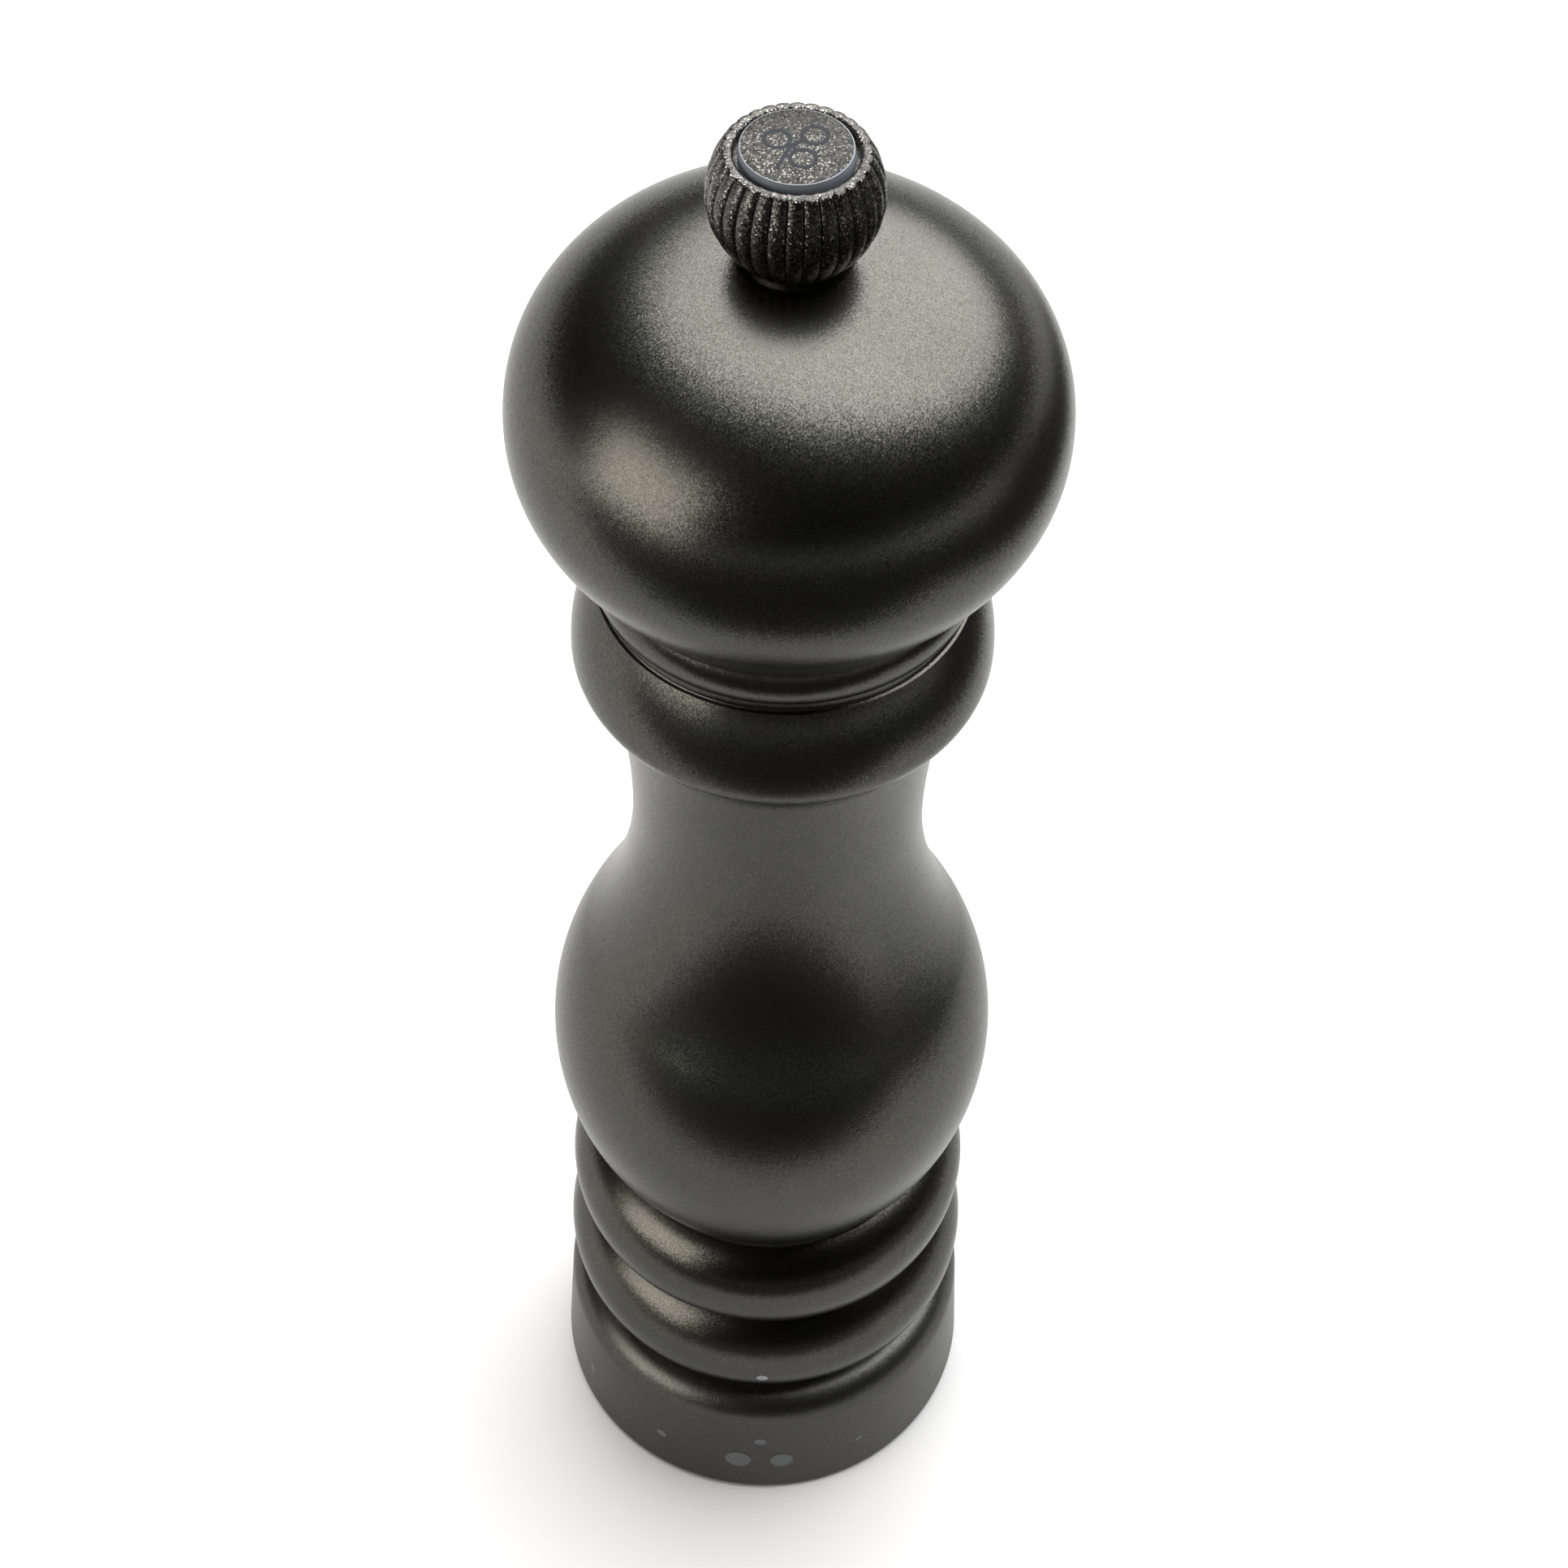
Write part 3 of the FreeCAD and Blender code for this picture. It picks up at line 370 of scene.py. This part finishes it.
def emblem(name):
    """A sprig of three peppercorns: flat lines and rings lying on the badge."""
    work = bmesh.new()
    level = (BADGE_TOP + 0.008) * MM
    layer = 0.003 * MM
    line_width = 0.42

    def ribbon(points):
        nonlocal level
        level += layer
        sides = []
        for index, point in enumerate(points):
            before = Vector(points[max(0, index - 1)])
            after = Vector(points[min(len(points) - 1, index + 1)])
            along = (after - before).normalized()
            across = Vector((-along.y, along.x)) * line_width / 2
            left = Vector(point) + across
            right = Vector(point) - across
            sides.append([work.verts.new((left.x * MM, left.y * MM, level)),
                          work.verts.new((right.x * MM, right.y * MM, level))])
        for first, second in zip(sides, sides[1:]):
            work.faces.new((first[0], first[1], second[1], second[0]))

    def ring(centre, radius):
        turns = [2 * math.pi * index / 40 for index in range(41)]
        ribbon([(centre[0] + radius * math.cos(t), centre[1] + radius * math.sin(t)) for t in turns])

    berries = [(-1.9, 1.0), (1.7, 1.7), (0.6, -1.7)]
    berry_radius = 1.25
    stem_foot = Vector((-2.0, -3.4))
    stem_head = Vector((-0.5, 0.2))
    ribbon([stem_foot.lerp(stem_head, share) for share in (0.0, 0.5, 1.0)])
    for berry in berries:
        ring(berry, berry_radius)
        reach = Vector(berry) - stem_head
        ribbon([stem_head, stem_head + reach * (1 - berry_radius / reach.length)])
    bmesh.ops.remove_doubles(work, verts=work.verts, dist=1e-7)
    made = finish_mesh(name, work, 30.0)
    return made


# ------------------------------------------------------------------ materials
class Nodes:
    """Short names for building a material's node tree."""

    def __init__(self, name):
        self.material = bpy.data.materials.new(name)
        self.material.use_nodes = True
        self.tree = self.material.node_tree
        self.shader = self.tree.nodes["Principled BSDF"]
        self.place = self.add("ShaderNodeTexCoord").outputs["Object"]

    def add(self, kind, **settings):
        node = self.tree.nodes.new(kind)
        for key, value in settings.items():
            setattr(node, key, value)
        return node

    def link(self, output, target):
        self.tree.links.new(output, target)

    def constants(self, **values):
        for key, value in values.items():
            self.shader.inputs[key.replace("_", " ")].default_value = value

    def noise(self, scale, detail=2.0, stretch=None):
        node = self.add("ShaderNodeTexNoise")
        node.inputs["Scale"].default_value = scale
        node.inputs["Detail"].default_value = detail
        place = self.place
        if stretch:
            mapping = self.add("ShaderNodeMapping")
            mapping.inputs["Scale"].default_value = stretch
            self.link(place, mapping.inputs["Vector"])
            place = mapping.outputs["Vector"]
        self.link(place, node.inputs["Vector"])
        return node.outputs["Fac"]

    def flakes(self, size):
        node = self.add("ShaderNodeTexVoronoi")
        node.inputs["Scale"].default_value = 1.0 / size
        self.link(self.place, node.inputs["Vector"])
        return node.outputs["Color"]

    def ramp(self, value, stops):
        node = self.add("ShaderNodeValToRGB")
        elements = node.color_ramp.elements
        elements[0].position, elements[0].color = stops[0][0], (*stops[0][1], 1)
        elements[1].position, elements[1].color = stops[-1][0], (*stops[-1][1], 1)
        for position, colour in stops[1:-1]:
            elements.new(position).color = (*colour, 1)
        self.link(value, node.inputs["Fac"])
        return node.outputs["Color"]

    def span(self, value, low, high, to_low, to_high):
        node = self.add("ShaderNodeMapRange")
        for key, number in zip(("From Min", "From Max", "To Min", "To Max"), (low, high, to_low, to_high)):
            node.inputs[key].default_value = number
        self.link(value, node.inputs["Value"])
        return node.outputs["Result"]

    def bump(self, height, strength, distance):
        node = self.add("ShaderNodeBump")
        node.inputs["Strength"].default_value = strength
        node.inputs["Distance"].default_value = distance
        self.link(height, node.inputs["Height"])
        self.link(node.outputs["Normal"], self.shader.inputs["Normal"])

    def tilt_flakes(self, colour, amount):
        """Turns each flake's face a little its own way, for sparkle."""
        centred = self.add("ShaderNodeVectorMath", operation="SUBTRACT")
        self.link(colour, centred.inputs[0])
        centred.inputs[1].default_value = (0.5, 0.5, 0.5)
        scaled = self.add("ShaderNodeVectorMath", operation="SCALE")
        self.link(centred.outputs[0], scaled.inputs[0])
        scaled.inputs["Scale"].default_value = amount
        normal = self.add("ShaderNodeNewGeometry")
        summed = self.add("ShaderNodeVectorMath", operation="ADD")
        self.link(normal.outputs["Normal"], summed.inputs[0])
        self.link(scaled.outputs[0], summed.inputs[1])
        unit = self.add("ShaderNodeVectorMath", operation="NORMALIZE")
        self.link(summed.outputs[0], unit.inputs[0])
        self.link(unit.outputs[0], self.shader.inputs["Normal"])


def flake_lacquer(name, dark, bright, spark, size, tilt, roughness, coat):
    """Satin lacquer full of metal flakes, each lighter or darker and turned its own way; a few spark.

    spark is the brightest flakes' grey, size a flake's width in metres, and tilt how far its face leans.
    """
    n = Nodes(name)
    flakes = n.flakes(size)
    cloud = n.noise(60.0, 3.0)
    grain = n.span(flakes, 0.0, 1.0, 0.0, 0.85)
    summed = n.add("ShaderNodeMath", operation="ADD")
    n.link(grain, summed.inputs[0])
    n.link(n.span(cloud, 0.3, 0.7, 0.0, 0.15), summed.inputs[1])
    warm_spark = (spark, spark * 0.96, spark * 0.86)
    stops = [(0.15, dark), (0.66, bright), (0.82, warm_spark)]
    n.link(n.ramp(summed.outputs[0], stops), n.shader.inputs["Base Color"])
    n.tilt_flakes(flakes, tilt)
    rough = n.span(n.noise(25.0, 4.0), 0.3, 0.7, roughness - 0.03, roughness + 0.03)
    n.link(rough, n.shader.inputs["Roughness"])
    n.constants(Metallic=1.0, Coat_Weight=coat, Coat_Roughness=0.25)
    n.shader.inputs["Specular Tint"].default_value = (0.75, 0.75, 0.75, 1)
    return n.material


def brushed_metal(name, colour, roughness, stretch, streak=900.0, depth=0.00001):
    """Drawn, stamped or turned metal with fine streaks along one direction."""
    n = Nodes(name)
    streaks = n.noise(streak, 3.0, stretch)
    dark = tuple(channel * 0.78 for channel in colour)
    n.link(n.ramp(streaks, [(0.3, dark), (0.7, colour)]), n.shader.inputs["Base Color"])
    n.link(n.span(streaks, 0.2, 0.8, roughness - 0.08, roughness + 0.1), n.shader.inputs["Roughness"])
    n.bump(streaks, 0.25, depth)
    n.constants(Metallic=1.0)
    return n.material


def moulded_plastic(name, colour, roughness, gloss=0.5):
    n = Nodes(name)
    grain = n.noise(2500.0, 2.0)
    light = tuple(min(1.0, channel * 1.35) for channel in colour)
    n.link(n.ramp(n.noise(90.0, 3.0), [(0.35, colour), (0.65, light)]), n.shader.inputs["Base Color"])
    n.link(n.span(grain, 0.3, 0.7, roughness - 0.05, roughness + 0.08), n.shader.inputs["Roughness"])
    n.bump(grain, 0.2, 0.00003)
    n.constants(Specular_IOR_Level=gloss)
    return n.material


def bare_beech(name):
    """The unlacquered inside: pale wood with long pores and faint rings."""
    n = Nodes(name)
    rings = n.add("ShaderNodeTexWave", wave_type="RINGS", rings_direction="Y")
    rings.inputs["Scale"].default_value = 90.0
    rings.inputs["Distortion"].default_value = 3.0
    rings.inputs["Detail"].default_value = 2.0
    n.link(n.place, rings.inputs["Vector"])
    pores = n.noise(1200.0, 2.0, (1.0, 1.0, 0.06))
    mixed = n.add("ShaderNodeMath", operation="ADD")
    n.link(n.span(rings.outputs["Fac"], 0.0, 1.0, 0.0, 0.4), mixed.inputs[0])
    n.link(n.span(pores, 0.3, 0.7, 0.0, 0.6), mixed.inputs[1])
    stops = [(0.1, (0.33, 0.17, 0.075)), (0.5, (0.52, 0.31, 0.15)), (0.9, (0.62, 0.40, 0.21))]
    n.link(n.ramp(mixed.outputs[0], stops), n.shader.inputs["Base Color"])
    n.bump(pores, 0.3, 0.00008)
    n.constants(Roughness=0.62)
    return n.material


LACQUER = flake_lacquer(
    "graphite_lacquer", dark=(0.034, 0.034, 0.029), bright=(0.070, 0.070, 0.061),
    spark=0.085, size=0.00010, tilt=0.11, roughness=0.265, coat=0.04)
RING_LACQUER = flake_lacquer(
    "ring_lacquer", dark=(0.040, 0.040, 0.036), bright=(0.072, 0.072, 0.065),
    spark=0.085, size=0.00010, tilt=0.11, roughness=0.36, coat=0.06)
KNOB_LACQUER = flake_lacquer(
    "knob_lacquer", dark=(0.016, 0.016, 0.015), bright=(0.075, 0.073, 0.067),
    spark=0.30, size=0.00015, tilt=0.42, roughness=0.30, coat=0.15)
BADGE_LACQUER = flake_lacquer(
    "badge_lacquer", dark=(0.008, 0.008, 0.008), bright=(0.036, 0.0355, 0.032),
    spark=0.19, size=0.00015, tilt=0.45, roughness=0.34, coat=0.04)
BADGE_EDGE = moulded_plastic("badge_edge", (0.120, 0.130, 0.150), 0.42, 0.35)
EMBLEM_INK = moulded_plastic("emblem_ink", (0.012, 0.014, 0.018), 0.6, 0.12)
PALE_PRINT = moulded_plastic("pale_print", (0.20, 0.213, 0.228), 0.5)
RING_PRINT = moulded_plastic("ring_print", (0.055, 0.058, 0.062), 0.5)
BEECH = bare_beech("bare_beech")
BLACK_PLASTIC = moulded_plastic("black_plastic", (0.02, 0.02, 0.021), 0.5)
STEEL = brushed_metal("stamped_steel", (0.62, 0.62, 0.60), 0.34, (0.05, 1.0, 1.0))
DARK_STEEL = brushed_metal("hardened_steel", (0.30, 0.29, 0.28), 0.38, (1.0, 1.0, 0.2))
SPRING_STEEL = brushed_metal("spring_steel", (0.45, 0.45, 0.47), 0.3, (1.0, 1.0, 0.3))
SCREW_STEEL = brushed_metal("screw_steel", (0.72, 0.71, 0.68), 0.25, (1.0, 1.0, 0.3))
ALUMINIUM = brushed_metal("drawn_aluminium", (0.78, 0.78, 0.79), 0.3, (1.0, 1.0, 0.02))
BRASS = brushed_metal("turned_brass", (0.75, 0.56, 0.26), 0.28, (0.3, 0.3, 1.0))


def dress(node, material):
    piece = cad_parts[node]
    piece.data.materials.clear()
    piece.data.materials.append(material)


def dress_cad():
    cad_materials = {
        BLACK_PLASTIC: ["grinder_housing", "ring_cam"],
        DARK_STEEL: ["female_grinder", "male_grinder", "knob_washer"],
        STEEL: ["lower_bridge", "upper_bridge", "drive_plate", "thrust_washer", "spindle_washer"],
        SPRING_STEEL: ["grinder_spring", "click_spring", "retaining_ring", "grinder_circlip", "spindle_clip"],
        SCREW_STEEL: ["bridge_screws", "housing_screws", "drive_plate_screws"],
        BRASS: ["head_bush", "knob_insert"],
    }
    for material, nodes in cad_materials.items():
        for node in nodes:
            dress(node, material)


def paint_inside(mesh_data, is_inside):
    """Gives the second material to the faces whose middle is inside."""
    for face in mesh_data.polygons:
        middle = face.center / MM
        if is_inside(math.hypot(middle.x, middle.y), middle.z):
            face.material_index = 1


# ------------------------------------------------------------------ the pieces that are made here
def make_body():
    mesh_data = lathe("body_wood", without_repeats(body_outline() + body_inside()))
    mesh_data.materials.append(LACQUER)
    mesh_data.materials.append(BEECH)

    def inside(radius, height):
        return radius < SOCKET_RADIUS + 0.5 or (radius < FLANGE_RADIUS + 0.2 and height < HOUSING_TOP + 0.5)

    paint_inside(mesh_data, inside)
    new_object("body_wood", mesh_data, "barrel", ["wood_body"])


def make_head():
    mesh_data = lathe("head_wood", without_repeats(head_outline() + head_inside()))
    mesh_data.materials.append(LACQUER)
    mesh_data.materials.append(BEECH)
    paint_inside(mesh_data, lambda radius, height: radius < SPINDLE_BORE + 0.1 or height < HEAD_BOTTOM - 0.1)
    new_object("head_wood", mesh_data, "head", ["wood_head"])


def make_ring():
    mesh_data = lathe("ring_shell", without_repeats(ring_outline() + ring_inside()))
    mesh_data.materials.append(RING_LACQUER)
    new_object("ring_shell", mesh_data, "selector_ring", ["adjust_ring"])


def make_knob():
    knob = lathe("knob_ball", knob_outline(), relief=flutes, steps=KNOB_FLUTES * 16, sharp=50.0)
    knob.materials.append(KNOB_LACQUER)
    new_object("knob_ball", knob, "knob", ["knob_shell"])
    axis_points = [(0.02, BADGE_TOP), (0.02, BADGE_BOTTOM)]
    badge = lathe("badge_disc", badge_outline() + axis_points, steps=128)
    badge.materials.append(BADGE_LACQUER)
    badge.materials.append(BADGE_EDGE)
    paint_inside(badge, lambda radius, height: radius > BADGE_FACE - 0.1)
    new_object("badge_disc", badge, "knob", ["knob_badge"])
    lines = emblem("badge_emblem")
    lines.materials.append(EMBLEM_INK)
    new_object("badge_emblem", lines, "knob")


def surface_disc(name, centre_angle, height, radius, surface, lift=0.02):
    """A printed dot that follows a round surface; surface(height) gives the radius there, in mm."""
    work = bmesh.new()
    rings, steps = 4, 28
    grid = []
    for ring in range(1, rings + 1):
        row = []
        for step in range(steps):
            turn = 2 * math.pi * step / steps
            up = height + radius * ring / rings * math.sin(turn)
            out = surface(up) + lift
            angle = centre_angle + radius * ring / rings * math.cos(turn) / out
            row.append(work.verts.new(Vector((out * math.cos(angle), out * math.sin(angle), up)) * MM))
        grid.append(row)
    for inner, outer in zip(grid, grid[1:]):
        for step in range(steps):
            following = (step + 1) % steps
            work.faces.new((inner[step], outer[step], outer[following], inner[following]))
    work.faces.new(grid[0])
    return finish_mesh(name, work, 60.0)


def radius_at(outline, height):
    """The outline's largest radius at a height."""
    found = []
    for (r_a, z_a), (r_b, z_b) in zip(outline, outline[1:]):
        if min(z_a, z_b) <= height <= max(z_a, z_b) and z_a != z_b:
            found.append(r_a + (r_b - r_a) * (height - z_a) / (z_b - z_a))
    return max(found)


def ring_dot(name, ring, angle, height, size):
    mark = surface_disc(name, angle, height, size, lambda level: radius_at(ring, level))
    mark.materials.append(RING_PRINT)
    new_object(name, mark, "selector_ring")


def make_marks():
    """The index dot on the body, the sign on the ring below it, and a dot at each other grind setting."""
    front = -math.pi / 2
    body = body_outline()
    dot = surface_disc("index_dot", front, INDEX_HEIGHT, INDEX_RADIUS, lambda height: radius_at(body, height))
    dot.materials.append(PALE_PRINT)
    new_object("index_dot", dot, "barrel")
    ring = ring_outline()
    aside = SIGN_HALF_WIDTH / RING_FOOT_RADIUS
    ring_dot("setting_sign_upper", ring, front, SIGN_TOP, 0.8)
    ring_dot("setting_sign_left", ring, front - aside, SIGN_HEIGHT, 1.8)
    ring_dot("setting_sign_right", ring, front + aside, SIGN_HEIGHT, 1.6)
    for index in range(SETTINGS):
        if index != SETTING_AT_REST:
            angle = front - SETTING_STEP * (index - SETTING_AT_REST)
            ring_dot("setting_dot_" + str(index + 1), ring, angle, SETTING_HEIGHT, 0.45 + 0.1 * index)


def thread_profile(angle, radius, height):
    """The square bar with turned corners, and the ridges of the thread above it."""
    if radius == SPINDLE_CORNER:
        return min(SPINDLE_CORNER, SPINDLE_FLATS / 2 / max(abs(math.cos(angle)), abs(math.sin(angle))))
    if height > THREAD_FOOT and radius > THREAD_RADIUS - 0.3:
        ridge = (height / THREAD_PITCH - angle / (2 * math.pi)) % 1.0
        return radius - THREAD_DEPTH * abs(2 * ridge - 1)
    return radius


def make_spindle():
    bar = [(SPINDLE_CORNER, height) for height in (JOURNAL_TOP, CLIP_GROOVE[0])]
    bar += [(CLIP_SEAT_RADIUS, height) for height in CLIP_GROOVE]
    bar += [(SPINDLE_CORNER, CLIP_GROOVE[1])]
    above_groove = THREAD_FOOT - CLIP_GROOVE[1]
    bar += [(SPINDLE_CORNER, CLIP_GROOVE[1] + above_groove * share) for share in (0.25, 0.5, 0.75, 1.0)]
    steps_per_pitch = 12
    steps = round((SPINDLE_TOP - THREAD_FOOT) / THREAD_PITCH * steps_per_pitch)
    chamfer = 0.4
    thread = [(THREAD_RADIUS, THREAD_FOOT + 0.01)]
    for index in range(1, steps):
        thread.append((THREAD_RADIUS, THREAD_FOOT + (SPINDLE_TOP - chamfer - THREAD_FOOT) * index / steps))
    thread += [(THREAD_RADIUS - chamfer, SPINDLE_TOP), (0.02, SPINDLE_TOP)]
    journal = [(0.02, SPINDLE_BOTTOM), (JOURNAL_RADIUS - 0.2, SPINDLE_BOTTOM),
               (JOURNAL_RADIUS, SPINDLE_BOTTOM + 0.2), (JOURNAL_RADIUS, JOURNAL_TOP)]
    mesh_data = lathe("spindle_bar", journal + bar + thread, relief=thread_profile, steps=96, sharp=35.0)
    mesh_data.materials.append(ALUMINIUM)
    new_object("spindle_bar", mesh_data, "spindle", ["spindle"])


def make_backdrop():
    """A pale surround for the camera only, so that it doesn't show in the lacquer."""
    surround_mesh = bpy.data.meshes.new("backdrop")
    work = bmesh.new()
    bmesh.ops.create_uvsphere(work, u_segments=48, v_segments=24, radius=6.0)
    work.to_mesh(surround_mesh)
    work.free()
    surround = bpy.data.objects.new("backdrop", surround_mesh)
    bpy.context.scene.collection.objects.link(surround)
    surround.visible_glossy = False
    surround.visible_diffuse = False
    surround.visible_shadow = False
    surround.visible_transmission = False
    n = Nodes("backdrop_white")
    n.shader.inputs["Base Color"].default_value = (0, 0, 0, 1)
    n.shader.inputs["Emission Color"].default_value = (1, 1, 1, 1)
    n.constants(Roughness=1.0, Specular_IOR_Level=0.0, Emission_Strength=1.0)
    surround_mesh.materials.append(n.material)


def make_stage():
    size = 45.0
    floor_mesh = bpy.data.meshes.new("floor")
    corners = [(-size, -size, 0), (size, -size, 0), (size, size, 0), (-size, size, 0)]
    floor_mesh.from_pydata(corners, [], [(0, 1, 2, 3)])
    floor = bpy.data.objects.new("floor", floor_mesh)
    bpy.context.scene.collection.objects.link(floor)
    n = Nodes("floor_white")
    n.constants(Roughness=0.9, Specular_IOR_Level=0.0)
    n.shader.inputs["Base Color"].default_value = (0.5, 0.5, 0.5, 1)
    floor_mesh.materials.append(n.material)


def make_flag():
    """Black cards lying in front and to the right of the mill, that only its glossy sides mirror."""
    lift = 0.002
    near, far, half_width = -0.125, -3.0, 1.2
    right_near, right_far, right_back = 0.22, 3.0, 0.5
    card_mesh = bpy.data.meshes.new("flag")
    front_card = [(-half_width, far), (half_width, far), (half_width, near), (-half_width, near)]
    right_card = [(right_near, near), (right_far, near), (right_far, right_back), (right_near, right_back)]
    corners = [(x, y, lift) for x, y in front_card + right_card]
    card_mesh.from_pydata(corners, [], [(0, 1, 2, 3), (4, 5, 6, 7)])
    card = bpy.data.objects.new("flag", card_mesh)
    bpy.context.scene.collection.objects.link(card)
    card.visible_camera = False
    card.visible_shadow = False
    n = Nodes("flag_black")
    n.constants(Roughness=1.0)
    n.shader.inputs["Base Color"].default_value = (0.01, 0.01, 0.01, 1)
    card_mesh.materials.append(n.material)


def soft_light(name, place, target, size, power, colour=(1, 1, 1)):
    lamp = bpy.data.lights.new(name, "AREA")
    lamp.shape = "RECTANGLE"
    lamp.size, lamp.size_y = size
    lamp.energy = power
    lamp.color = colour
    holder = bpy.data.objects.new(name, lamp)
    bpy.context.scene.collection.objects.link(holder)
    holder.location = place
    holder.rotation_euler = (Vector(target) - Vector(place)).to_track_quat("-Z", "Y").to_euler()


def broad_light(name, tilt, towards, width, strength):
    """A far, round softbox: tilt from straight overhead and width, both in degrees."""
    lamp = bpy.data.lights.new(name, "SUN")
    lamp.angle = math.radians(width)
    lamp.energy = strength
    holder = bpy.data.objects.new(name, lamp)
    bpy.context.scene.collection.objects.link(holder)
    lean = math.tan(math.radians(tilt))
    source = Vector((towards[0] * lean, towards[1] * lean, 1.0))
    holder.rotation_euler = (-source).to_track_quat("-Z", "Y").to_euler()


def make_lights():
    middle = (0, 0, 0.11)
    broad_light("overhead", 32.0, (0.42, 0.91), 90.0, 9.9)
    soft_light("left_window", (-1.02, -0.64, 0.56), middle, (0.95, 0.8), 12.3, (1.0, 0.94, 0.88))
    world = bpy.data.worlds.new("studio")
    world.use_nodes = True
    world.node_tree.nodes["Background"].inputs["Color"].default_value = (0.02, 0.02, 0.02, 1)
    world.node_tree.nodes["Background"].inputs["Strength"].default_value = 1.0
    bpy.context.scene.world = world
    bpy.context.scene.view_settings.view_transform = "Standard"


make_camera()
make_body()
make_head()
make_ring()
make_knob()
make_spindle()
make_marks()
dress_cad()
make_stage()
make_backdrop()
make_flag()
make_lights()
